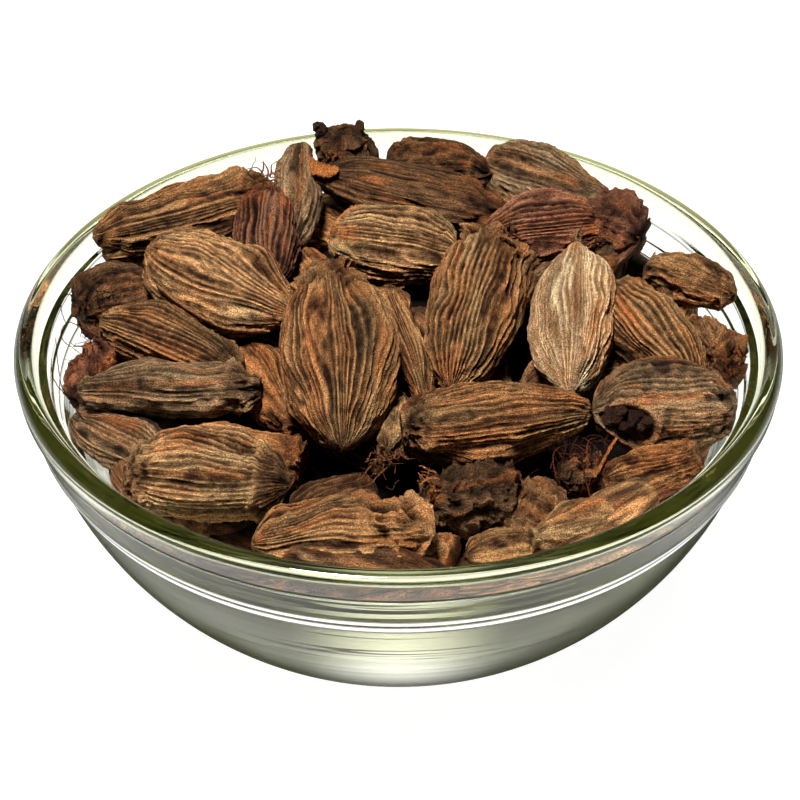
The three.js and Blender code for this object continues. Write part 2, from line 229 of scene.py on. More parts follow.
# Pods that show, from the stalk end to the calyx end:
# name, from, to, width, depth, husk, rib depth, fold depth, raggedness of the calyx end,
# taper (0.5 is an ellipse, more is a spindle), fullness towards the calyx, radius of the calyx end.
PODS = [
    ("centre_big", (-9, -30, 47), (-12, 3, 60), 19, 15, "brown", 0.6, 0.4, 1.1, 0.7, -0.1, 0.34),
    ("centre_shaggy", (8.5, -16, 48), (16, 13.5, 59), 16.5, 13, "brown", 0.5, 0.8, 1.3, 0.5, 0.35, 0.45),
    ("pale_upright", (28.5, -16.5, 48), (31, 15, 56), 14.8, 13, "pale", 0.35, 0.3, 0.3, 0.62, -0.1, 0.12),
    ("front_right_big", (31.5, -23.5, 50), (0.5, -27.5, 49), 13.2, 12, "brown", 0.5, 0.4, 1.0, 0.5, 0.3, 0.4),
    ("right_split", (31.5, -22.5, 49), (55, -19, 47.5), 14.5, 13, "grey", 0.25, 0.8, 0.9, 0.5, 0.0, 0.3),
    ("left_plump", (-17, -4.5, 55), (-42.5, 14.5, 55), 15, 13, "tan", 0.35, 0.4, 0.6, 0.48, 0.2, 0.3),
    ("front_left_big", (-17, -39, 47), (-43.5, -35, 45.5), 16, 13, "tan", 0.6, 0.6, 1.2, 0.5, 0.0, 0.3),
    ("upper_round", (10.5, 15, 54), (-11.5, 20.5, 54), 14.5, 13, "tan", 0.45, 0.5, 0.7, 0.5, 0.1, 0.35),
    ("left_ribbed", (-50.5, 2, 50), (-26.5, -10.5, 48), 12.5, 11, "brown", 0.45, 0.3, 0.9, 0.52, -0.1, 0.3),
    ("right_red", (15, 20.5, 54), (36.5, 24, 55), 12.5, 11.5, "red", 0.45, 0.4, 0.7, 0.5, 0.2, 0.4),
    ("right_red_calyx", (32.5, 26, 55), (42.5, 20.5, 53), 10.5, 10, "dusky", 0.1, 1.7, 1.3, 0.42, 0.2, 0.5),
    ("back_left_long", (-54, 23.5, 52), (-23.5, 35, 54), 12.5, 11, "brown", 0.4, 0.8, 1.2, 0.5, 0.2, 0.4),
    ("back_left_under", (-52.5, 23.5, 48), (-29.5, 33, 49), 9, 8, "brown", 0.4, 0.5, 0.8, 0.5, 0.2, 0.3),
    ("back_long_dark", (-17.5, 38, 57), (19, 29, 53), 10.5, 10, "dark", 0.35, 0.5, 1.0, 0.5, 0.2, 0.3),
    ("back_wrinkled", (17.5, 42.5, 53), (-2.5, 45, 52), 12, 11, "dark", 0.15, 1.4, 0.7, 0.5, 0.2, 0.3),
    ("back_right_smooth", (38.5, 33, 52), (16, 47.5, 52), 13, 11, "grey", 0.2, 0.5, 0.3, 0.5, 0.2, 0.2),
    ("back_knob", (-8.5, 43, 50), (-10, 43, 61.8), 11, 9, "dark", 0.1, 1.2, 0.8, 0.4, 0.3, 0.35),
    ("upright_red", (-23.5, 11, 50), (-22.5, 32.5, 56), 11, 10, "dusky", 0.4, 0.3, 0.6, 0.52, -0.1, 0.2),
    ("upright_sliver", (-19, 23, 50), (-17.5, 44.5, 58), 7.5, 8, "grey", 0.25, 0.4, 0.4, 0.5, 0.2, 0.2),
    ("left_edge", (-42.5, 16, 46), (-55.5, 8, 47), 12.5, 11, "dark", 0.15, 1.0, 1.2, 0.45, 0.2, 0.5),
    ("left_edge_fibres", (-49, -1, 46), (-54.5, -11, 42), 7, 7, "dusky", 0.1, 1.4, 1.2, 0.45, 0.2, 0.5),
    ("left_flat_grey", (-53, -14.5, 47), (-22.5, -16, 49), 8, 8.5, "grey", 0.35, 0.7, 1.1, 0.42, 0.25, 0.5),
    ("left_rim", (-54.4, -16, 42.5), (-38, -25.5, 40), 10.5, 9, "grey", 0.3, 0.2, 0.6, 0.5, 0.2, 0.3),
    ("left_fringe", (-36, -22.5, 42.5), (-15.5, -27, 41.5), 9, 9, "orange", 0.2, 1.1, 1.3, 0.45, 0.2, 0.5),
    ("front_fringed", (-23, -47.5, 42), (5.5, -44.5, 42), 12, 11, "brown", 0.4, 0.6, 0.7, 0.48, 0.3, 0.5),
    ("front_behind", (-17.5, -36, 37), (-4, -28.5, 37), 10, 9, "dark", 0.3, 0.7, 0.7, 0.5, 0.2, 0.3),
    ("centre_slender", (5, -18.5, 47), (-2, 5.5, 53), 7, 8, "brown", 0.35, 0.4, 0.9, 0.5, 0.2, 0.5),
    ("right_lump", (33.5, 21.5, 49), (39.5, 18.5, 49), 8.5, 8, "dark", 0.1, 1.4, 0.7, 0.45, 0.2, 0.4),
    ("right_grey_strip", (20.5, 11.5, 47), (34, 21, 50), 8, 7.5, "grey", 0.2, 0.5, 0.4, 0.5, 0.2, 0.2),
    ("right_diagonal", (50, -15, 47), (36.5, 7.5, 52), 11.5, 10.5, "brown", 0.45, 0.3, 0.8, 0.5, 0.2, 0.3),
    ("centre_left_ribbed", (-26.5, 0.5, 47), (-16, -20, 43), 10, 9, "orange", 0.45, 0.5, 1.0, 0.5, 0.2, 0.4),
    ("husk_under_centre", (-20, -12, 43), (-2, -26.5, 40), 7, 7, "dark", 0.4, 0.5, 0.5, 0.5, 0.2, 0.3),
    ("striped_stalk", (0, -14.5, 46), (-2, -28.5, 44), 5, 8, "tan", 0.15, 0.5, 1.0, 0.4, 0.2, 0.6),
    ("front_ball", (4, -38, 42), (18.5, -32, 40), 12, 11, "dark", 0.1, 1.8, 1.4, 0.42, 0.3, 0.5),
    ("front_lump", (17.5, -31.5, 38), (26, -39, 38), 9.5, 9, "brown", 0.1, 1.5, 0.9, 0.42, 0.2, 0.4),
    ("front_right_fibres", (25.5, -29.5, 40), (34, -28.5, 40), 8, 8, "dark", 0.1, 1.1, 1.2, 0.42, 0.2, 0.5),
    ("front_right_pale", (38, -38, 40), (21, -44.5, 41), 8.5, 8, "tan", 0.12, 0.6, 0.5, 0.48, 0.2, 0.3),
    ("right_front_tan", (33, -32, 42), (49, -29, 44), 8.5, 8, "orange", 0.2, 1.1, 0.9, 0.45, 0.2, 0.4),
    ("right_back_knobby", (58, 7.5, 51), (43, 14.5, 51), 9, 9, "brown", 0.15, 1.2, 0.8, 0.42, 0.0, 0.3),
    ("right_ragged_calyx", (50, 2, 48), (55, -9, 47), 11, 11, "brown", 0.1, 1.7, 1.3, 0.42, 0.2, 0.5),
    ("gap_back_red", (-18.5, 41, 46), (-8.5, 30, 47), 9, 9, "orange", 0.2, 0.7, 0.4, 0.5, 0.2, 0.3),
    ("gap_orange", (-19, 29, 46), (-11, 13, 46), 8, 8, "orange", 0.2, 1.1, 0.8, 0.45, 0.2, 0.4),
    ("gap_sliver", (19.5, 10.5, 38), (24, -1, 38), 7, 7, "brown", 0.3, 0.4, 0.4, 0.5, 0.2, 0.3),
    ("front_crumb", (4, -42.5, 36), (9, -44.5, 36), 6, 6, "brown", 0.1, 1.1, 0.5, 0.42, 0.2, 0.4),
    ("front_low", (10.5, -43.5, 36), (22.5, -42, 36), 7, 7, "brown", 0.2, 1.0, 0.6, 0.45, 0.2, 0.4),
]

# Marks of single pods: kind, place on the pod, size.
MARKS = {
    "front_left_big": ("lip", 0.17, 0.9),
    "right_split": ("split", (0.2, 1.96), 1.6),
    "front_fringed": ("waves", 0.52, 2.2),
}

# Loose fibres and shreds: place, spread, way out, count, length, wander, turning, width, colour.
TUFTS = [
    ((-50.5, 9, 50), (2.0, 2.5, 1.5), (-0.5, -0.6, 0.4), 26, 6, 0.25, 0.5, 0.2, (46, 26, 18)),
    ((-51.5, -3, 47), (1.8, 4, 1.5), (-0.2, -0.8, 0.2), 44, 6, 0.3, 0.35, 0.24, (126, 68, 40)),
    ((-24, 35, 55), (1.5, 1.5, 1.8), (0.8, 0.1, 0.5), 34, 4, 0.25, 0.3, 0.3, (176, 104, 56)),
    ((39, 20.5, 54), (1.6, 1.4, 1.4), (0.6, -0.4, 0.3), 30, 3, 0.3, 0.4, 0.35, (92, 56, 38)),
    ((-2, -28.5, 44), (1.6, 1.2, 1.2), (0.0, -0.9, -0.1), 40, 5, 0.25, 0.4, 0.24, (150, 98, 60)),
    ((29.5, -29, 43), (2.6, 1.6, 1.2), (0, -0.3, 0.6), 60, 8, 0.15, 0.55, 0.22, (104, 54, 34)),
    ((53, -7, 48), (2.0, 2.5, 2.0), (0.3, -0.8, 0.0), 44, 5, 0.3, 0.35, 0.26, (130, 66, 40)),
    ((5.5, -37, 45), (1.2, 1.2, 1.2), (-0.7, 0.3, 0.5), 16, 4, 0.2, 0.3, 0.5, (176, 112, 66)),
    ((31, 15.5, 56), (0.8, 0.8, 0.8), (0.0, 0.6, 0.6), 12, 3, 0.3, 0.3, 0.3, (140, 100, 66)),
    ((18, 13, 61), (0.6, 0.6, 0.5), (0.6, 0.2, 0.3), 5, 5, 0.1, 0.7, 0.7, (132, 84, 52)),
    ((-17.5, 37.5, 57.5), (1.0, 1.0, 1.0), (-0.6, -0.3, 0.3), 14, 3.5, 0.2, 0.4, 0.45, (184, 108, 58)),
]

# Single stalks, strands and hairs: places on their way, width, thickness, colour.
STRANDS = [
    ([(-12.6, 43, 59.4), (-13.6, 43.2, 61.4), (-14.4, 43.6, 62.6), (-14.5, 43.8, 63.3)],
     3.6, 2.6, (62, 40, 28)),
    ([(-8.4, 43.5, 59.4), (-7.6, 43.6, 61.4), (-6.9, 43.8, 62.5), (-7, 44, 63.3)], 2.8, 2.0, (74, 46, 30)),
    ([(-17, 38.2, 58.9), (-16.2, 37.2, 58.7), (-14.6, 35.8, 58.4), (-12.6, 34.4, 58.7), (-10.8, 33.9, 59.6)],
     3.0, 0.8, (204, 124, 62)),
    ([(31, 14.4, 55.6), (31.2, 15.8, 57), (31, 16.8, 58.4)], 1.5, 1.3, (160, 120, 82)),
    ([(-41, 4.4, 55), (-38, 0.4, 55), (-34, -2.2, 53.8), (-29.3, -5.2, 52.8), (-25, -6, 53),
      (-21.4, -7.8, 54.4)],
     1.5, 0.6, (176, 124, 80)),
    ([(16.6, 9, 61.6), (17.6, 7.8, 62.9), (19.2, 6.8, 62.8), (20.4, 6.2, 61.8), (19.6, 5.6, 60.8)],
     0.8, 0.6, (156, 106, 66)),
    ([(-51.5, -19.5, 44), (-54.5, -16, 46.6), (-57.6, -12.4, 47.6), (-58.2, -8, 48.8)],
     0.2, 0.2, (40, 22, 14)),
    ([(-53, -17, 45), (-56.2, -13, 46.2), (-57.4, -6, 47), (-58.2, -1.5, 49)], 0.18, 0.18, (34, 20, 14)),
    ([(-54, 6, 50), (-57.5, 10.5, 49.6), (-58, 4.6, 50.4), (-56.4, 0.8, 49)], 0.2, 0.2, (34, 20, 14)),
    ([(-52, 0, 48), (-56.8, 3.4, 48.8), (-57.6, -2.4, 49), (-53.6, -5, 47.6)], 0.2, 0.2, (46, 26, 16)),
    ([(31.5, -33, 43.6), (33.6, -29.4, 45.4), (35.4, -26.4, 46.8)], 0.9, 0.5, (196, 116, 62)),
    ([(24.5, -30.5, 43.4), (26, -27, 46), (29.5, -26, 47), (33, -28.6, 45.4), (31.5, -31.6, 43.4)],
     0.26, 0.22, (92, 46, 30)),
    ([(25.5, -32.4, 42.8), (24.6, -28.6, 45.6), (28.4, -26.8, 46.2), (32, -30, 44.8), (28.6, -33, 43.2)],
     0.24, 0.2, (120, 62, 38)),
]

# Seeds in the two chambers of the opened pod: place and radius.
SEEDS = [
    ((34.0, -25.3, 49.4), 1.1),
    ((35.3, -25.8, 50.2), 1.2),
    ((34.4, -24.7, 50.8), 1.1),
    ((36.1, -25.4, 51.4), 1.2),
    ((36.5, -26.6, 49.2), 1.1),
    ((37.9, -26.7, 50.3), 1.2),
    ((39.2, -27.0, 49.7), 1.1),
    ((38.3, -26.3, 51.3), 1.1),
    ((39.9, -26.8, 50.5), 1.0),
]
SEED_GRID = (22, 12)
SEED_COLOUR = (58, 38, 28)

# Pods that fill the gaps below and behind those that show: from, to, width, depth, husk.
UNDER_PODS = [
    ((-8, 27, 47), (17, 36, 47), 12, 10, "brown"),
    ((-45, 24, 45), (-27, 20, 46), 11, 10, "dark"),
    ((42, -1, 43), (21, -8, 42), 11, 10, "brown"),
    ((18, -10, 43), (2, 8, 46), 12, 10, "dark"),
    ((-2, -18, 42), (-20, -2, 46), 12, 10, "dark"),
    ((-50, -5, 42), (-29, 2, 43), 11, 10, "brown"),
    ((-40, -30, 36), (-22, -32, 36), 11, 10, "dark"),
    ((6, -16, 40), (24, -21, 40), 11, 10, "dark"),
    ((26, -34, 34), (44, -26, 36), 11, 10, "dark"),
    ((50, 17, 43), (44, 2, 44), 11, 10, "brown"),
    ((-40, 33, 46), (-22, 48.5, 45), 11, 10, "tan"),
    ((-20, 48, 39.5), (4, 50.5, 40.5), 11, 10, "brown"),
    ((8, 52, 42), (32, 42, 43), 11, 10, "red"),
    ((30.4, 39.3, 36), (45.3, 21.5, 35), 11, 10, "brown"),
    ((-22, 40, 41), (-8, 33, 42), 9, 9, "dark"),
]

# Rows of pods against the glass: height, pods, steepest tilt.
WALL_ROWS = [(13, 7, 0.15), (22, 8, 0.5), (30, 9, 0.6), (38, 10, 0.3)]
WALL_POD_LONG, WALL_POD_WIDE, WALL_POD_DEEP = 28, 12, 10
WALL_HUSKS = ["brown", "dark", "tan", "red", "brown", "grey"]

# The other values of a pod in the gaps and of one against the glass, in the order of those that show.
UNDER_SHAPE = (0.45, 0.5, 0.6, 0.5, 0.2, 0.3)
WALL_SHAPE = (0.4, 0.3, 0.4, 0.5, 0.2, 0.3)

# First random seed of each kind of thing. The pods that show count from 0.
UNDER_DRAWS = 300
WALL_DRAWS = 400
TUFT_DRAWS = 9000
STRAND_DRAWS = 9500
SEED_DRAWS = 9700
# Pods at least this wide have the finer grid. Grids are points round and along.
LARGE_WIDTH = 11
LARGE_GRID = (180, 76)
SMALL_GRID = (100, 50)
UNDER_GRID = (44, 22)


def linear(colour):
    """An sRGB colour of 0 to 255 as linear light."""
    share = np.asarray(colour, float) / 255
    return np.where(share <= 0.04045, share / 12.92, ((share + 0.055) / 1.055) ** 2.4)


def unit(v):
    return v / np.linalg.norm(v, axis=-1, keepdims=True)


def smooth(low, high, x):
    s = np.clip((x - low) / (high - low), 0, 1)
    return s * s * (3 - 2 * s)


def turns(count):
    """Angles spaced evenly round a circle."""
    return np.linspace(0, 2 * math.pi, count, endpoint=False)


class Kind:
    """One piece in the making: the joined mesh of all things of a kind."""

    def __init__(self, name):
        self.name = name
        self.count = 0
        self.points, self.quads, self.tris, self.colours, self.grain = [], [], [], [], []

    def add(self, points, quads, tris, colours, grain):
        self.points.append(points)
        self.quads.append(quads + self.count)
        self.tris.append(tris + self.count)
        self.colours.append(colours)
        self.grain.append(grain)
        self.count += len(points)

    def make(self, material, slot, node):
        points = np.concatenate(self.points) * MM
        quads, tris = np.concatenate(self.quads), np.concatenate(self.tris)
        mesh = bpy.data.meshes.new(self.name)
        mesh.vertices.add(len(points))
        mesh.vertices.foreach_set("co", points.astype(np.float32).ravel())
        corners = np.concatenate([quads.ravel(), tris.ravel()])
        mesh.loops.add(len(corners))
        mesh.loops.foreach_set("vertex_index", corners.astype(np.int32))
        starts = np.concatenate([np.arange(len(quads)) * 4, len(quads) * 4 + np.arange(len(tris)) * 3])
        mesh.polygons.add(len(starts))
        mesh.polygons.foreach_set("loop_start", starts.astype(np.int32))
        mesh.update(calc_edges=True)
        mesh.polygons.foreach_set("use_smooth", np.ones(len(starts), bool))
        colour = mesh.attributes.new("husk_colour_and_shade", "FLOAT_COLOR", "POINT")
        rgba = np.concatenate([np.concatenate(self.colours), np.ones((len(points), 1))], axis=1)
        colour.data.foreach_set("color", rgba.astype(np.float32).ravel())
        grain = mesh.attributes.new("grain", "FLOAT_VECTOR", "POINT")
        grain.data.foreach_set("vector", np.concatenate(self.grain).astype(np.float32).ravel())
        mesh.validate()
        piece = bpy.data.objects.new(self.name, mesh)
        bpy.context.collection.objects.link(piece)
        mesh.materials.append(material)
        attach(piece, "root")
        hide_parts(node)


def lattice(cells, seed):
    """Random values of -1 to 1 at whole-number points."""
    n = cells.astype(np.int64)
    h = n[..., 0] * 73856093 ^ n[..., 1] * 19349663 ^ n[..., 2] * 83492791 ^ (seed + 1) * 40503
    h = ((h ^ (h >> 13)) & 0xFFFFFFF) * 1274126177
    return ((h ^ (h >> 15)) >> 4 & 0xFFFF) / 32767.5 - 1


def soft_noise(points, seed):
    """A smooth random field of about -1 to 1 with features of about one unit."""
    cell = np.floor(points)
    f = points - cell
    f = f * f * (3 - 2 * f)
    total = 0
    for corner in itertools.product((0, 1), repeat=3):
        weight = np.prod(np.where(corner, f, 1 - f), axis=-1)
        total = total + weight * lattice(cell + corner, seed)
    return total * 1.5


def rough(points, seed, octaves):
    """Soft noise with finer and weaker layers on it."""
    return sum(soft_noise(points * 2**i, seed + 31 * i) / 2**i for i in range(octaves))


def crease(points, seed, octaves):
    """Folds: narrow crests of 1 between broad hollows of about -1."""
    return sum((1 - 2 * np.abs(soft_noise(points * 2**i, seed + 57 * i))) / 2**i for i in range(octaves))


def shifts(points, seeds):
    """Three soft fields as a shift of each point."""
    return np.stack([soft_noise(points, seed) for seed in seeds], -1)


def grid_faces(rows, around):
    """Quads between rows of points, and fans to a first and a last point."""
    j, i = np.meshgrid(np.arange(rows - 1), np.arange(around), indexing="ij")
    a = 1 + j * around + i
    b = 1 + j * around + (i + 1) % around
    quads = np.stack([a, b, b + around, a + around], -1).reshape(-1, 4)
    i = np.arange(around)
    last = 1 + rows * around
    first_fan = np.stack([np.zeros(around, int), (i + 1) % around + 1, i + 1], -1)
    base = 1 + (rows - 1) * around
    last_fan = np.stack([np.full(around, last), base + i, base + (i + 1) % around], -1)
    return quads, np.concatenate([first_fan, last_fan])


def sphere_radius(radius, z):
    return math.sqrt(radius**2 - (z - BODY_CENTRE_Z) ** 2)


def thick_radius(z, inset):
    """The inside's radius and lean where the wall thickens, less an inset square to it."""
    rise = THICK_ARC_Z - z
    lean = math.asin(rise / THICK_ARC)
    return THICK_ARC_RADIUS + math.sqrt((THICK_ARC - inset) ** 2 - rise**2), lean


def held_inside(points):
    """Points of the pods drawn in where they would reach into the glass."""
    z = points[..., 2]
    below = THICK_ARC_RADIUS + np.sqrt(THICK_ARC**2 - (THICK_ARC_Z - np.clip(z, FLOOR_Z, THICK_BELOW_Z)) ** 2)
    above = np.sqrt(CAVITY_RADIUS**2 - (np.clip(z, THICK_BELOW_Z, BOWL_HEIGHT) - BODY_CENTRE_Z) ** 2)
    limit = np.where(z > THICK_BELOW_Z, above, below)
    share = np.minimum(1, (limit - POD_CLEARANCE) / np.hypot(points[..., 0], points[..., 1]))
    height = np.maximum(z, FLOOR_Z + POD_CLEARANCE)
    return np.stack([points[..., 0] * share, points[..., 1] * share, height], -1)


class Skin:
    """A pod's bare surface, a lobed spindle: turn, place along it, radius as a share, and place in noise."""

    def __init__(self, rng, seed, length, wide, deep, grid, taper, blunt, mouth):
        around, rows = grid
        u = turns(around)
        theta = (u + 0.4 * np.sin(u) - math.pi / 2)[None, :]
        t, share = pod_rows(rows, taper, blunt, mouth)
        self.share = share * (1 + LOBE_DEPTH * np.cos(LOBES * theta + rng.uniform(0, 6)))
        self.theta, self.t = np.broadcast_arrays(theta, t)
        self.seed = seed
        self.wide, self.deep = wide, deep
        self.fullness = np.sqrt(4 * self.t * (1 - self.t))
        self.place = np.stack([self.t * length, *self.section(0)], -1) + rng.uniform(0, 500, 3)

    def section(self, lift):
        """Places across the pod and outward from its axis, with the surface lifted by some relief."""
        x = np.cos(self.theta) * (self.share * self.wide / 2 + lift)
        return x, np.sin(self.theta) * (self.share * self.deep / 2 + lift)

    def noise(self, size, draw):
        return soft_noise(self.place / size, self.seed + draw)


def pod_rows(rows, taper, blunt, mouth):
    """Place along the pod and radius, as shares, of each row: the side, then the sunken calyx end."""
    side = np.arange(1, rows - len(MOUTH_ROWS) + 1) / (rows - len(MOUTH_ROWS) + 0.5)
    t = (1 - np.cos(math.pi * side)) / 2
    share = (4 * t * (1 - t)) ** taper * (1 + blunt * (t - 0.5))
    share = np.hypot(share, mouth * smooth(0.5, 1, t))
    inward = np.array(MOUTH_ROWS)
    share = np.concatenate([share, share[-1] * inward[:, 1]])
    return np.concatenate([t, inward[:, 0]])[:, None], share[:, None]


def pod_ribs(rng, skin):
    """Wandering ribs of uneven width: nearness to a crest, height, paleness, strength, and fine lines."""
    ribs = max(FEWEST_RIBS, round(math.pi * (skin.wide + skin.deep) / 2 / RIB_PITCH))
    around_only = np.stack([2.6 * skin.theta, 0 * skin.t, 0 * skin.t], -1)
    phase = ribs * skin.theta / (2 * math.pi) + 0.65 * soft_noise(around_only, skin.seed + 20)
    phase = phase + 0.8 * skin.noise(RIB_SWAY, 0) + 0.28 * skin.noise(RIB_TREMBLE, 1)
    number = np.floor(phase).astype(int) % ribs
    crest = np.exp(-(((2 * (phase % 1) - 1) / rng.uniform(0.3, 0.6, ribs)[number]) ** 2))
    height = rng.uniform(0.35, 1, ribs)[number]
    pale = rng.uniform(0.35, 1, ribs)[number]
    strength = np.clip(0.75 + 0.5 * skin.noise(RIB_BREAK, 2), 0.15, 1)
    fine = 2.7 * phase + 0.5 * skin.noise(FINE_SWAY, 3)
    return crest, height, pale, strength, 0.5 - np.abs(2 * (fine % 1) - 1)


def pod_bands(rng, skin):
    """A few raised pale bands along the side that shows."""
    band = np.zeros(skin.theta.shape)
    for _ in range(rng.integers(3, 7)):
        middle = rng.uniform(0.1, 3.0) + 0.16 * skin.noise(BAND_SWAY, rng.integers(99))
        away = np.angle(np.exp(1j * (skin.theta - middle))) * skin.share * skin.wide / 2
        reach = smooth(rng.uniform(0, 0.3), rng.uniform(0.35, 0.5), skin.t)
        band = np.maximum(band, np.exp(-((away / rng.uniform(0.5, 1.1)) ** 2)) * reach * rng.uniform(0.4, 1))
    return band


def pod_colours(rng, skin, tone, husk):
    """Linear colours from groove to ridge, the dark groove end partly painted shade, with warm patches, clouds
    and drifts of hue.
    """
    tone = np.clip(tone, 0, 1)[..., None]
    groove, ridge = (linear(c) for c in HUSKS[husk])
    colours = groove + (ridge - groove) * tone**TONE_CURVE
    warm = np.clip(1.2 * skin.noise(EMBER_SIZE, 13) - 0.5, 0, 0.55)[..., None] * tone
    colours = colours * (1 - warm) + linear(EMBER) * warm
    cloud = 1 + 0.16 * skin.noise(CLOUD_SIZE, 14)[..., None]
    cloud = cloud * (1 + skin.noise(HUE_SIZE, 15)[..., None] * REDDER)
    return colours * cloud * rng.uniform(0.9, 1.1)


def add_pod(kind, seed, pod, face, grid, mark=None):
    """A pod: a lobed spindle with wandering ribs, raised bands, dents, folds and a ragged calyx end."""
    start, end, wide, deep, husk, rib_depth, fold, ragged, taper, blunt, mouth = pod
    rng = np.random.default_rng(seed)
    start = np.asarray(start, float)
    along = np.asarray(end, float) - start
    across = unit(np.cross(face, along))
    outward = unit(np.cross(along, across))
    length = np.linalg.norm(along)
    skin = Skin(rng, seed, length, wide, deep, grid, taper, blunt, mouth)
    place, t = skin.place, skin.t
    crest, height, pale, strength, fine = pod_ribs(rng, skin)
    band = pod_bands(rng, skin)
    torn = smooth(0.88 - 0.12 * ragged, 0.97 - 0.05 * ragged, t) * min(1, ragged)
    if rib_depth <= LUMP_RIBS:
        torn = np.maximum(torn, LUMP_TORN)
    fade = smooth(0.03, 0.5, skin.fullness) * (1 - 0.8 * torn)
    warped = place + WARP * shifts(place / WARP_SIZE, (seed + 5, seed + 6, seed + 7))
    folds = crease(warped / FOLD_SIZE, seed + 8, 3)
    nubs = 0.55 * crease(warped / NUB_SIZE, seed + 9, 3) + 0.6 * rough(place / BUMP_SIZE, seed + 10, 2)
    speckle = skin.noise(SPECKLE_SIZE, 11)

    lift = (RIB_LIFT * rib_depth * (crest * height * strength - 0.4) + FINE_LIFT * fine) * fade
    lift = lift + BAND_LIFT * min(rib_depth, 0.5) * band * fade
    lift = lift + DENT_LIFT * rough(place / DENT_SIZE, seed + 4, 2) * smooth(0, 0.5, skin.fullness)
    lift = lift + fold * 0.5 * folds * (0.35 + 0.65 * smooth(0.9, 0.45, skin.fullness))
    lift = lift + ragged * nubs * torn + SPECKLE_LIFT * speckle

    # Tone: paler on rib crests, bands and nubs as the husk's own colour, darker in the grooves and fold
    # hollows as painted shade.
    ribbed = min(1, rib_depth / 0.35)
    tone = ribbed * (0.19 + 1.25 * crest * (0.3 + 0.7 * strength) * pale) + (1 - ribbed) * 0.45
    tone = tone + 0.4 * band + (0.03 + 0.2 * min(1, 0.7 * fold)) * folds + 0.16 * fine
    tone = tone * (1 - torn) + (0.4 + 0.3 * nubs) * torn
    tone = tone + 0.12 * rough(place / STREAK_SIZE, seed + 12, 2) + 0.14 * speckle
    if mark:
        name, at, size = mark
        lift, tone = MARK_MAKERS[name](lift, tone, skin, at, size)

    x, y = skin.section(lift)
    y = y + rng.uniform(-MOST_BEND, MOST_BEND) * skin.fullness**2
    body = held_inside(start + along * t[..., None] + across * x[..., None] + outward * y[..., None])
    around, rows = grid
    colours = pod_colours(rng, skin, tone, husk).reshape(-1, 3)
    # The last point, deep in the sunken calyx end, is darkened as painted shade.
    colours = np.concatenate([[colours[:around].mean(0)], colours, [colours[-around:].mean(0) * 0.4]])
    tips = [start - along / length * 0.2, start + along * MOUTH_ROWS[-1][0]]
    points = np.concatenate([[tips[0]], body.reshape(-1, 3), [tips[1]]])
    grain = np.stack([skin.theta * wide / 2, t * length, np.full(t.shape, seed % 50 * 7.0)], -1)
    grain = np.concatenate([grain[0, :1], grain.reshape(-1, 3), grain[-1, -1:]])
    kind.add(points, *grid_faces(rows, around), colours, grain)


def lip(lift, tone, skin, at, size):
    """The torn edge of the outer husk round an end of the pod, with the inner husk lower beyond it."""
    edge = at + 0.03 * soft_noise(skin.place / 4, 71) + 0.012 * soft_noise(skin.place / 1.2, 72)
    crest = np.exp(-(((skin.t - edge) / 0.022) ** 2))
    sunk = smooth(0.01, -0.01, skin.t - edge)
    return lift + size * crest - 0.7 * size * sunk, tone * (1 - 0.5 * sunk) + 0.35 * crest


def split(lift, tone, skin, at, size):
    """A gap where the husk has opened: a sunken oval, darkened as painted shade, with a raised, lighter edge.
    """
    place, angle = at
    along = (skin.t - place) / 0.2
    around = np.angle(np.exp(1j * (skin.theta - angle))) / 0.55
    away = np.hypot(along, around) + 0.12 * soft_noise(skin.place / 2, 73)
    sunk = smooth(1.0, 0.8, away)
    crest = np.exp(-(((away - 1.05) / 0.13) ** 2))
    return lift - size * sunk + 0.35 * crest, tone * (1 - 0.8 * sunk) + 0.3 * crest


def waves(lift, tone, skin, at, size):
    """Deep wavy folds of loose husk over the calyx half, paler on the crests and darker in the hollows as
    painted shade.
    """
    mask = smooth(at, at + 0.12, skin.t)
    bent = skin.place + 1.2 * shifts(skin.place / 2.5, (75, 76, 77))
    folds = crease(bent / 3.2, 74, 2)
    return lift + size * mask * folds * 0.45, tone * (1 - 0.6 * mask) + mask * (0.35 + 0.42 * folds)


MARK_MAKERS = {"lip": lip, "split": split, "waves": waves}


def add_strip(kind, path, widths, thicks, hint, colour_a, colour_b, sides):
    """A closed tapered strip or hair along a path, from colour_a at its root to colour_b."""
    count = len(path)
    way = unit(np.gradient(path, axis=0))
    side = unit(np.cross(way, hint))
    flat = np.cross(side, way)
    widths, thicks = widths[:, None] / 2, thicks[:, None] / 2
    rings = [path + side * widths * math.cos(a) + flat * thicks * math.sin(a) for a in turns(sides)]
    tips = [path[0] - way[0] * 0.05, path[-1] + way[-1] * 0.05]
    points = np.concatenate([[tips[0]], np.stack(rings, 1).reshape(-1, 3), [tips[1]]])
    quads, tris = grid_faces(count, sides)
    share = np.repeat(np.linspace(0, 1, count), sides)[:, None]
    colours = colour_a * (1 - share) + colour_b * share
    colours = np.concatenate([colours[:1], colours, colours[-1:]])
    kind.add(points, quads[:, ::-1], tris[:, ::-1], colours, points)


def curl(rng, root, way, length, steps, wander, turning):
    """A path that sets out one way, keeps turning about an axis of its own and wanders."""
    path = [root]
    way = unit(np.asarray(way, float) + rng.normal(0, 0.3, 3))
    axis = unit(rng.normal(0, 1, 3))
    for _ in range(steps):
        way = unit(way + np.cross(axis, way) * turning + rng.normal(0, wander, 3))
        path.append(path[-1] + way * length / steps)
    return np.asarray(path)


def eased(places, steps):
    """A smooth path through places."""
    places = np.asarray(places, float)
    share = np.linspace(0, 1, len(places))
    fine = np.linspace(0, 1, steps)
    path = np.stack([np.interp(fine, share, places[:, k]) for k in range(3)], -1)
    for _ in range(steps // 3):
        path[1:-1] = (path[:-2] + 2 * path[1:-1] + path[2:]) / 4
    return path


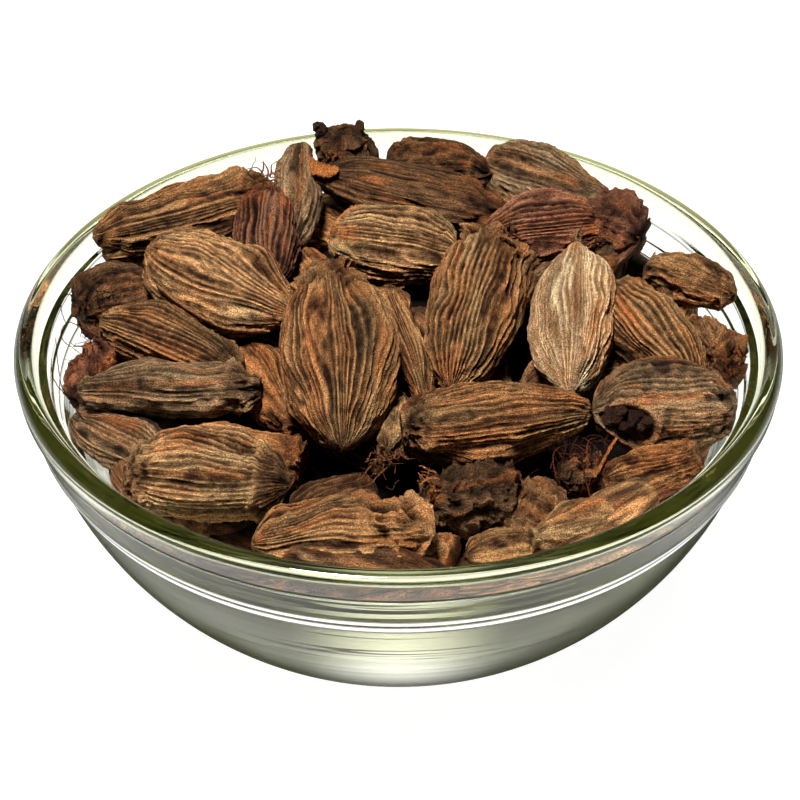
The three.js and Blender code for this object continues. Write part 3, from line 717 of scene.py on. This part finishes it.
def add_strand(kind, number, places, width, thick, colour):
    """One strand with a slightly uneven width."""
    rng = np.random.default_rng(STRAND_DRAWS + number)
    steps = 6 * len(places)
    path = eased(places, steps) + rng.normal(0, 0.04, (steps, 3))
    taper = np.interp(np.linspace(0, 1, steps), [0, 0.1, 0.8, 1], [0.7, 1, 0.9, 0.4])
    taper = taper * rng.uniform(0.85, 1.15, steps)
    tint = linear(colour)
    add_strip(kind, path, width * taper, thick * taper, rng.normal(0, 1, 3), tint * 0.7, tint, 6)


def add_tuft(kind, number, place, spread, way, count, length, wander, turning, width, colour):
    """Loose fibres or shreds round a place, without those that would reach the glass."""
    rng = np.random.default_rng(TUFT_DRAWS + number)
    colour = linear(colour)
    thick = min(width, 0.3)
    sides = 3 if width < 0.3 else 4
    for _ in range(count):
        root = np.asarray(place) + rng.normal(0, 1, 3) * spread
        long = length * rng.uniform(0.5, 1.2)
        path = curl(rng, root, way, long, 9, wander, turning * rng.uniform(0.3, 1.3))
        if not inside_bowl(path):
            continue
        taper = np.array([0.8, 1, 1, 1, 0.95, 0.9, 0.8, 0.65, 0.5, 0.25]) * rng.uniform(0.6, 1.3)
        tint = colour * rng.uniform(0.5, 1.4)
        add_strip(kind, path, width * taper, thick * taper, rng.normal(0, 1, 3), tint * 0.6, tint, sides)


def inside_bowl(path):
    """True if a path stays within the glass and below the top of the object."""
    reach = np.hypot(path[:, 0], path[:, 1])
    height = np.minimum(path[:, 2], BOWL_HEIGHT)
    wall = np.sqrt(CAVITY_RADIUS**2 - (height - BODY_CENTRE_Z) ** 2)
    return np.all(reach < wall - 0.5) and np.all(path[:, 2] < TOP_Z - 0.3)


def add_seed(kind, number, place, radius):
    """An angular wrinkled seed."""
    rng = np.random.default_rng(SEED_DRAWS + number)
    around, rows = SEED_GRID
    polar = np.linspace(0, math.pi, rows + 2)[1:-1, None]
    turn = turns(around)[None, :]
    x, y = np.sin(polar) * np.cos(turn), np.sin(polar) * np.sin(turn)
    way = np.stack(np.broadcast_arrays(x, y, np.cos(polar)), -1)
    way = np.concatenate([[[0, 0, 1]], way.reshape(-1, 3), [[0, 0, -1]]])
    facets = unit(rng.normal(0, 1, (9, 3)))
    flat = np.min(0.8 / np.maximum(way @ facets.T, 0.05), axis=1)
    reach = radius * np.minimum(flat, 1.15) * (1 + 0.05 * crease(way * 3, number, 2))
    points = np.asarray(place) + way * reach[:, None] * rng.uniform(0.85, 1.1, 3)
    quads, tris = grid_faces(rows, around)
    colours = np.tile(linear(SEED_COLOUR) * rng.uniform(0.7, 1.3), (len(points), 1))
    kind.add(points, quads[:, ::-1], tris[:, ::-1], colours, points)


def wall_pods():
    """Start, end and facing of the pods that lie against the glass, as in the part's source."""
    reach = GLASS_GAP + WALL_POD_DEEP / 2
    number = 0
    for z, count, most_tilt in WALL_ROWS:
        for i in range(count):
            turn = number * GOLDEN_TURN
            azimuth = (i + 0.5 * math.sin(turn) ** 2) * 2 * math.pi / count
            ring, lean = thick_radius(z, reach)
            out = np.array([math.cos(azimuth), math.sin(azimuth), 0])
            centre = out * ring + np.array([0, 0, z])
            face = out * math.cos(lean) - np.array([0, 0, math.sin(lean)])
            level = np.array([-math.sin(azimuth), math.cos(azimuth), 0])
            rising = np.cross(face, level)
            tilt = most_tilt * math.sin(turn)
            half = (level * math.cos(tilt) + rising * math.sin(tilt)) * WALL_POD_LONG / 2
            yield centre - half, centre + half, face
            number += 1


class Tree:
    """A node tree with short ways to add nodes to it. Inputs are values or outlets of other nodes."""

    def __init__(self, owner):
        owner.use_nodes = True
        self.nodes, self.links = owner.node_tree.nodes, owner.node_tree.links

    def feed(self, inlet, value):
        if isinstance(value, bpy.types.NodeSocket):
            self.links.new(value, inlet)
        else:
            inlet.default_value = value

    def add(self, kind, **inputs):
        """A node with its inputs by name, such as From_Min."""
        node = self.nodes.new("ShaderNode" + kind)
        for name, value in inputs.items():
            self.feed(node.inputs[name.replace("_", " ")], value)
        return node

    def ranged(self, source, taken, given, soft=False):
        """A value that runs from one number to another as its source passes a range."""
        node = self.add(
            "MapRange", Value=source, From_Min=taken[0], From_Max=taken[1], To_Min=given[0], To_Max=given[1]
        )
        node.interpolation_type = "SMOOTHSTEP" if soft else "LINEAR"
        return node.outputs["Result"]

    def by_ray(self, ray, other, asked):
        """One value, or another for the rays that a light path outlet names."""
        return self.ranged(self.add("LightPath").outputs[ray], (0, 1), (other, asked))

    def maths(self, operation, first, second):
        node = self.add("Math")
        node.operation = operation
        self.feed(node.inputs[0], first)
        self.feed(node.inputs[1], second)
        return node.outputs["Value"]

    def size(self, vector, centre=(0, 0, 0)):
        """How far a vector lies from a centre."""
        node = self.add("VectorMath")
        node.operation = "DISTANCE"
        self.feed(node.inputs[0], vector)
        self.feed(node.inputs[1], centre)
        return node.outputs["Value"]

    def scaled(self, vector, scale):
        node = self.add("VectorMath")
        node.operation = "SCALE"
        self.feed(node.inputs[0], vector)
        self.feed(node.inputs["Scale"], scale)
        return node.outputs["Vector"]

    def blend(self, share, first, second):
        """One surface, with a share of another over it."""
        node = self.add("MixShader", Fac=share)
        self.feed(node.inputs[1], first)
        self.feed(node.inputs[2], second)
        return node.outputs["Shader"]

    def bump(self, height, distance):
        return self.add("Bump", Strength=1.0, Distance=distance, Height=height).outputs["Normal"]


def husk_material(name, roughness):
    """Dried husk: the mesh's groove and ridge colours, with painted shade in the grooves, broken up by fibres
    along the pod and specks.
    """
    material = bpy.data.materials.new(name)
    tree = Tree(material)
    shader = tree.nodes["Principled BSDF"]
    shader.inputs["Specular IOR Level"].default_value = HUSK_SPECULAR
    husk = tree.add("Attribute")
    husk.attribute_name = "husk_colour_and_shade"
    grain = tree.add("Attribute")
    grain.attribute_name = "grain"
    stretched = tree.add("Mapping", Vector=grain.outputs["Vector"], Scale=FIBRE_SCALE).outputs["Vector"]
    fibres = tree.add("TexNoise", Vector=stretched, Scale=1.0, Detail=5.0, Roughness=0.65).outputs["Fac"]
    place = tree.add("TexCoord").outputs["Object"]
    specks = tree.add("TexNoise", Vector=place, Scale=SPECK_SCALE, Detail=2.0, Roughness=0.6).outputs["Fac"]
    fibre_tone = tree.ranged(fibres, (0.3, 0.7), FIBRE_TONES)
    speck_tone = tree.ranged(specks, (0.3, 0.72), SPECK_TONES)
    tone = tree.maths("MULTIPLY", fibre_tone, speck_tone)
    tree.feed(shader.inputs["Base Color"], tree.scaled(husk.outputs["Color"], tone))
    tree.feed(shader.inputs["Roughness"], tree.ranged(fibres, (0, 1), (roughness + 0.1, roughness - 0.15)))
    tree.feed(shader.inputs["Normal"], tree.bump(tone, HUSK_BUMP * MM))
    return material


def painted_line_highlights(tree, height, ripples, outer):
    """Share of the painted highlight, a glowing white, on the mould lines of the outer face."""
    lines = 0.0
    for z, half, share in LINE_HIGHLIGHTS:
        off = tree.maths("ABSOLUTE", tree.maths("SUBTRACT", height, z * MM), 0.0)
        line = tree.ranged(off, ((half - LINE_SOFT) * MM, (half + LINE_SOFT) * MM), (share, 0.0), True)
        lines = tree.maths("MAXIMUM", line, lines)
    patchy = tree.ranged(ripples, PATCH_RIPPLE, PATCH_SHARE, True)
    return tree.maths("MULTIPLY", tree.maths("MULTIPLY", lines, patchy), outer)


def painted_rim_glow(tree, away, height, depth):
    """Share of the painted glow in the rim's outer edge at the back."""
    reach = tree.ranged(away, [r * MM for r in BACK_RIM_REACH], (0.0, 1.0), True)
    top = tree.ranged(height, [z * MM for z in BACK_RIM_Z], (0.0, 1.0), True)
    back = tree.ranged(depth, [y * MM for y in BACK_RIM_Y], (0.0, BACK_RIM_SHARE), True)
    return tree.maths("MULTIPLY", tree.maths("MULTIPLY", reach, top), back)


def outline(tree, outer):
    """Share of the painted shade, a dark outline, on the outer face where it turns away."""
    turned_away = tree.add("LayerWeight").outputs["Facing"]
    edge = tree.ranged(turned_away, EDGE_SHADE_TURN, (0.0, EDGE_SHADE_SHARE), True)
    front = tree.maths("SUBTRACT", 1.0, tree.add("NewGeometry").outputs["Backfacing"])
    return tree.maths("MULTIPLY", tree.maths("MULTIPLY", edge, front), outer)


def glass_material():
    """Clear pressed glass, olive where light runs far inside it, with painted highlights on its mould lines
    round it, painted shade on its turned-away edges and a painted glow in the back of the rim.
    """
    material = bpy.data.materials.new("pressed_glass")
    tree = Tree(material)
    shader, output = tree.nodes["Principled BSDF"], tree.nodes["Material Output"]
    shader.inputs["Roughness"].default_value = 0.0
    shader.inputs["IOR"].default_value = GLASS_IOR
    shader.inputs["Transmission Weight"].default_value = 1.0
    absorb = tree.add("VolumeAbsorption", Color=GLASS_TINT, Density=GLASS_DENSITY)
    tree.feed(output.inputs["Volume"], absorb.outputs["Volume"])
    place = tree.add("TexCoord").outputs["Object"]
    stretched = tree.add("Mapping", Vector=place, Scale=RIPPLE_SCALE).outputs["Vector"]
    ripples = tree.add("TexNoise", Vector=stretched, Scale=1.0, Detail=2.0).outputs["Fac"]
    tree.feed(shader.inputs["Normal"], tree.bump(ripples, RIPPLE_DEPTH * MM))
    away = tree.size(place, (0, 0, BODY_CENTRE_Z * MM))
    outer = tree.ranged(away, [r * MM for r in OUTER_FACE], (0.0, 1.0), True)
    axes = tree.add("SeparateXYZ", Vector=place).outputs
    tint = tree.add("Mix")
    tint.data_type = "RGBA"
    tree.feed(tint.inputs["Factor"], tree.ranged(axes["Z"], [z * MM for z in RIM_TINT_Z], (0.0, 1.0), True))
    tree.feed(tint.inputs["A"], CLEAR_GLASS)
    tree.feed(tint.inputs["B"], RIM_GLASS)
    tree.feed(shader.inputs["Base Color"], tint.outputs["Result"])
    # Painted highlight: a whitish surface that glows, for the mould lines.
    line_highlight = tree.add(
        "BsdfPrincipled",
        Base_Color=LINE_HIGHLIGHT_BASE,
        Roughness=LINE_ROUGHNESS,
        Emission_Color=LINE_HIGHLIGHT_GLOW,
        Emission_Strength=LINE_STRENGTH,
    )
    # Painted shade: a dark olive diffuse surface for the turned-away edges.
    dark = tree.add("BsdfDiffuse", Color=EDGE_SHADE_COLOUR)
    # Painted glow: an emitting surface in the back of the rim.
    rim_glow = tree.add("Emission", Color=BACK_RIM_GLOW)
    clear = tree.add("BsdfTransparent", Color=SHADOW_GLASS)
    lines = painted_line_highlights(tree, axes["Z"], ripples, outer)
    surface = tree.blend(lines, shader.outputs["BSDF"], line_highlight.outputs["BSDF"])
    surface = tree.blend(outline(tree, outer), surface, dark.outputs["BSDF"])
    surface = tree.blend(painted_rim_glow(tree, away, axes["Z"], axes["Y"]), surface, rim_glow.outputs["Emission"])
    shadow = tree.add("LightPath").outputs["Is Shadow Ray"]
    tree.feed(output.inputs["Surface"], tree.blend(shadow, surface, clear.outputs["BSDF"]))
    return material


def turned(profile, around):
    """Points of a profile turned about the Z axis, row by row."""
    ring = np.stack([np.cos(turns(around)), np.sin(turns(around))], -1)
    rows = [profile[:, None, :1] * ring[None], np.repeat(profile[:, None, 1:], around, 1)]
    return np.concatenate(rows, -1).reshape(-1, 3)


def arc(radius, low, high, steps):
    return [(sphere_radius(radius, z), z) for z in np.linspace(low, high, steps)]


def rim_round(radius, first):
    angles = first + np.linspace(0, math.pi / 2, 9)
    height = BOWL_HEIGHT - RIM_ROUND
    return [(radius + RIM_ROUND * math.cos(a), height + RIM_ROUND * math.sin(a)) for a in angles]


def mould_ring(radius, middle):
    """A shallow rounded ring round the wall."""
    for z in np.linspace(middle - RING_HALF, middle + RING_HALF, 7):
        share = (z - middle) / RING_HALF
        yield sphere_radius(radius, z) + RING_DEPTH * (1 - share**2), z


def bowl_profile():
    """The wall's section from the middle of the underside, round the rim, to the middle of the floor."""
    bead = BOWL_HEIGHT - BEAD_HEIGHT
    wall = sphere_radius(BODY_RADIUS, bead)
    below_ledge, above_ledge = (LEDGE_Z + rise for rise in RING_RISES)
    outside = [
        (0.01, FOOT_RECESS),
        (FOOT_INNER - FOOT_RECESS, FOOT_RECESS),
        (FOOT_INNER, 0),
        (FOOT_OUTER, 0),
        *arc(BODY_RADIUS - LEDGE_STEP, FOOT_ROUND, LEDGE_Z - 1.6, 24),
        *mould_ring(BODY_RADIUS - LEDGE_STEP, below_ledge),
        *mould_ring(BODY_RADIUS, above_ledge),
        *arc(BODY_RADIUS, LEDGE_Z + 3.4, bead - 1, 6),
        (wall, bead - BEAD_GROOVE),
        (wall - BEAD_GROOVE, bead),
        (wall + BEAD_GROOVE, bead + BEAD_GROOVE),
        (RIM_RADIUS - BEAD_GROOVE, bead + BEAD_HEIGHT / 3),
    ]
    rim = [
        *rim_round(RIM_RADIUS - RIM_ROUND, 0),
        *rim_round(RIM_RADIUS - RIM_WIDTH + RIM_ROUND, math.pi / 2),
    ]
    inside = [
        *arc(CAVITY_RADIUS, BOWL_HEIGHT - 2 * RIM_ROUND, bead + BEAD_GROOVE, 5),
        *((thick_radius(z, 0)[0], z) for z in np.linspace(bead, FLOOR_Z + FOOT_ROUND, 30)),
        (FLOOR_RADIUS, FLOOR_Z),
        (0.01, FLOOR_Z),
    ]
    return np.asarray(outside + rim + inside)


def make_bowl():
    profile = bowl_profile()
    points = turned(profile, BOWL_SEGMENTS)
    points = np.concatenate([[[0, 0, profile[0, 1]]], points, [[0, 0, profile[-1, 1]]]]) * MM
    quads, tris = grid_faces(len(profile), BOWL_SEGMENTS)
    mesh = bpy.data.meshes.new("glass_bowl")
    mesh.from_pydata(points.tolist(), [], quads.tolist() + tris.tolist())
    for polygon in mesh.polygons:
        polygon.use_smooth = True
    mesh.set_sharp_from_angle(angle=SHARP_EDGE)
    mesh.materials.append(glass_material())
    bowl = bpy.data.objects.new("glass_bowl", mesh)
    bpy.context.collection.objects.link(bowl)
    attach(bowl, "root")
    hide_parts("bowl")


def make_pods():
    """All pods, fibres and seeds. Those that show are dealt in turn to the pieces of their size."""
    coarse = 1.0
    large_grid, small_grid, under_grid = (
        [int(n * coarse) for n in grid] for grid in (LARGE_GRID, SMALL_GRID, UNDER_GRID)
    )
    large = [Kind("cardamom_pods_large_" + letter) for letter in "abcd"]
    small = [Kind("cardamom_pods_small_" + letter) for letter in "ab"]
    under, fibres, seeds = Kind("cardamom_pods_below"), Kind("loose_fibres"), Kind("cardamom_seeds")
    next_large, next_small = itertools.cycle(large), itertools.cycle(small)
    for i, (name, *pod) in enumerate(PODS):
        is_large = pod[2] >= LARGE_WIDTH
        kind, grid = (next(next_large), large_grid) if is_large else (next(next_small), small_grid)
        add_pod(kind, i, pod, HEAP_FACE, grid, MARKS.get(name))
    for i, pod in enumerate(UNDER_PODS):
        add_pod(under, UNDER_DRAWS + i, (*pod, *UNDER_SHAPE), HEAP_FACE, under_grid)
    for i, (start, end, face) in enumerate(wall_pods()):
        husk = WALL_HUSKS[i % len(WALL_HUSKS)]
        pod = (start, end, WALL_POD_WIDE, WALL_POD_DEEP, husk, *WALL_SHAPE)
        add_pod(under, WALL_DRAWS + i, pod, face, under_grid)
    for i, tuft in enumerate(TUFTS):
        add_tuft(fibres, i, *tuft)
    for i, strand in enumerate(STRANDS):
        add_strand(fibres, i, *strand)
    for i, seed in enumerate(SEEDS):
        add_seed(seeds, i, *seed)
    husk = husk_material("husk", 0.72)
    seeds.make(husk_material("seed", 0.4), "pod_husk", "cardamom_heap")
    for kind in (*large, *small, under, fibres):
        kind.make(husk, "pod_husk", "cardamom_heap")


def make_shade_core():
    """A near-black crumpled mass under the pods, painted shade that shows only in the gaps."""
    side = [(thick_radius(z, CORE_INSET)[0], z) for z in np.linspace(CORE_FOOT_Z, CORE_EDGE_Z, 10)]
    heights = CORE_EDGE_Z + CORE_RISE * (1 - CORE_TOP_SHARES**3)
    top = zip(side[-1][0] * CORE_TOP_SHARES, heights)
    profile = np.asarray([(0.5, CORE_FOOT_Z), (20, CORE_FOOT_Z), *side, *top])
    points = turned(profile, CORE_SEGMENTS)
    rise = np.clip((points[:, 2] - CORE_EDGE_Z) / CORE_RISE, 0, 1)
    points[:, 2] += CORE_SLOPE * points[:, 1] * rise
    points[:, 2] += CORE_CREASE * crease(points / CORE_CREASE_SIZE, 3, 3) * rise
    peak = points[-CORE_SEGMENTS:, 2].mean()
    points = np.concatenate([[[0, 0, CORE_FOOT_Z]], points, [[0, 0, peak]]])
    colours = np.tile(linear(CORE_SHADE_COLOUR), (len(points), 1))
    core = Kind("painted_shade_core")
    core.add(points, *grid_faces(len(profile), CORE_SEGMENTS), colours, points)
    core.make(husk_material("core_shade", 0.9), "pod_husk", "cardamom_heap")


def make_floor():
    """A white table, with a painted pool of light under the glass and painted shade round it under the bowl,
    which only the glass sees.
    """
    bpy.ops.mesh.primitive_circle_add(vertices=96, radius=FLOOR_SIZE, fill_type="NGON")
    floor = bpy.context.object
    floor.name = "floor"
    floor.location.z = -FLOOR_DROP
    material = bpy.data.materials.new("floor")
    tree = Tree(material)
    shader = tree.nodes["Principled BSDF"]
    shader.inputs["Base Color"].default_value = FLOOR_GREY
    shader.inputs["Roughness"].default_value = 0.6
    shader.inputs["Specular IOR Level"].default_value = 0.0
    place = tree.add("TexCoord").outputs["Object"]
    shift = (-GLOW_PLACE[0] / GLOW_REACH[0], -GLOW_PLACE[1] / GLOW_REACH[1], 0)
    scale = (1 / GLOW_REACH[0], 1 / GLOW_REACH[1], 0)
    reach = tree.add("Mapping", Vector=place, Location=shift, Scale=scale).outputs["Vector"]
    # Painted light for the glass only: a pool of light under the glass, and shade under the bowl out to where
    # the open table brightens.
    glow = tree.ranged(tree.size(reach), (0.0, 1.0), GLOW_STRENGTH, True)
    beyond = tree.ranged(tree.size(place), OPEN_REACH, (0.0, OPEN_STRENGTH), True)
    to_glass = tree.maths("MAXIMUM", glow, beyond)
    unseen = tree.by_ray("Is Diffuse Ray", to_glass, FLOOR_TO_PODS)
    shader.inputs["Emission Color"].default_value = WHITE
    tree.feed(shader.inputs["Emission Strength"], tree.by_ray("Is Camera Ray", unseen, FLOOR_SEEN))
    floor.data.materials.append(material)


def make_world():
    """White behind the table for the camera, dim for the pods, dark overhead in what the glass shows."""
    world = bpy.data.worlds.new("studio")
    bpy.context.scene.world = world
    tree = Tree(world)
    direction = tree.add("TexCoord").outputs["Generated"]
    height = tree.add("SeparateXYZ", Vector=direction).outputs["Z"]
    room = tree.ranged(height, ROOM_RISE, ROOM_STRENGTH, True)
    dim = tree.maths("MULTIPLY", room, tree.by_ray("Is Diffuse Ray", 1.0, ROOM_TO_PODS))
    camera_ray = tree.add("LightPath").outputs["Is Camera Ray"]
    background = tree.nodes["Background"]
    background.inputs["Color"].default_value = WHITE
    tree.feed(background.inputs["Strength"], tree.maths("MAXIMUM", camera_ray, dim))


def make_key_light():
    data = bpy.data.lights.new("key", "AREA")
    data.shape = "RECTANGLE"
    data.size, data.size_y = KEY_SIZE
    data.energy = KEY_POWER
    light = bpy.data.objects.new("key", data)
    light.location = KEY_PLACE
    light.rotation_euler = (Vector(KEY_AIM) - Vector(KEY_PLACE)).to_track_quat("-Z", "Y").to_euler()
    bpy.context.collection.objects.link(light)


def make_camera():
    data = bpy.data.cameras.new("camera")
    data.sensor_width = 36
    data.lens = CAMERA_LENS
    data.clip_start, data.clip_end = 0.01, 20
    camera = bpy.data.objects.new("camera", data)
    back = Vector((0, -math.cos(CAMERA_ELEVATION), math.sin(CAMERA_ELEVATION)))
    camera.location = CAMERA_AIM + back * CAMERA_DISTANCE
    camera.rotation_euler = (-back).to_track_quat("-Z", "Y").to_euler()
    bpy.context.collection.objects.link(camera)
    bpy.context.scene.camera = camera


bpy.context.scene.view_settings.view_transform = "Standard"
paths = bpy.context.scene.cycles
paths.max_bounces = GLASS_BOUNCES
paths.glossy_bounces = GLASS_BOUNCES
paths.transmission_bounces = GLASS_BOUNCES
paths.diffuse_bounces = DIFFUSE_BOUNCES
make_camera()
make_world()
make_floor()
make_key_light()
make_bowl()
make_shade_core()
make_pods()
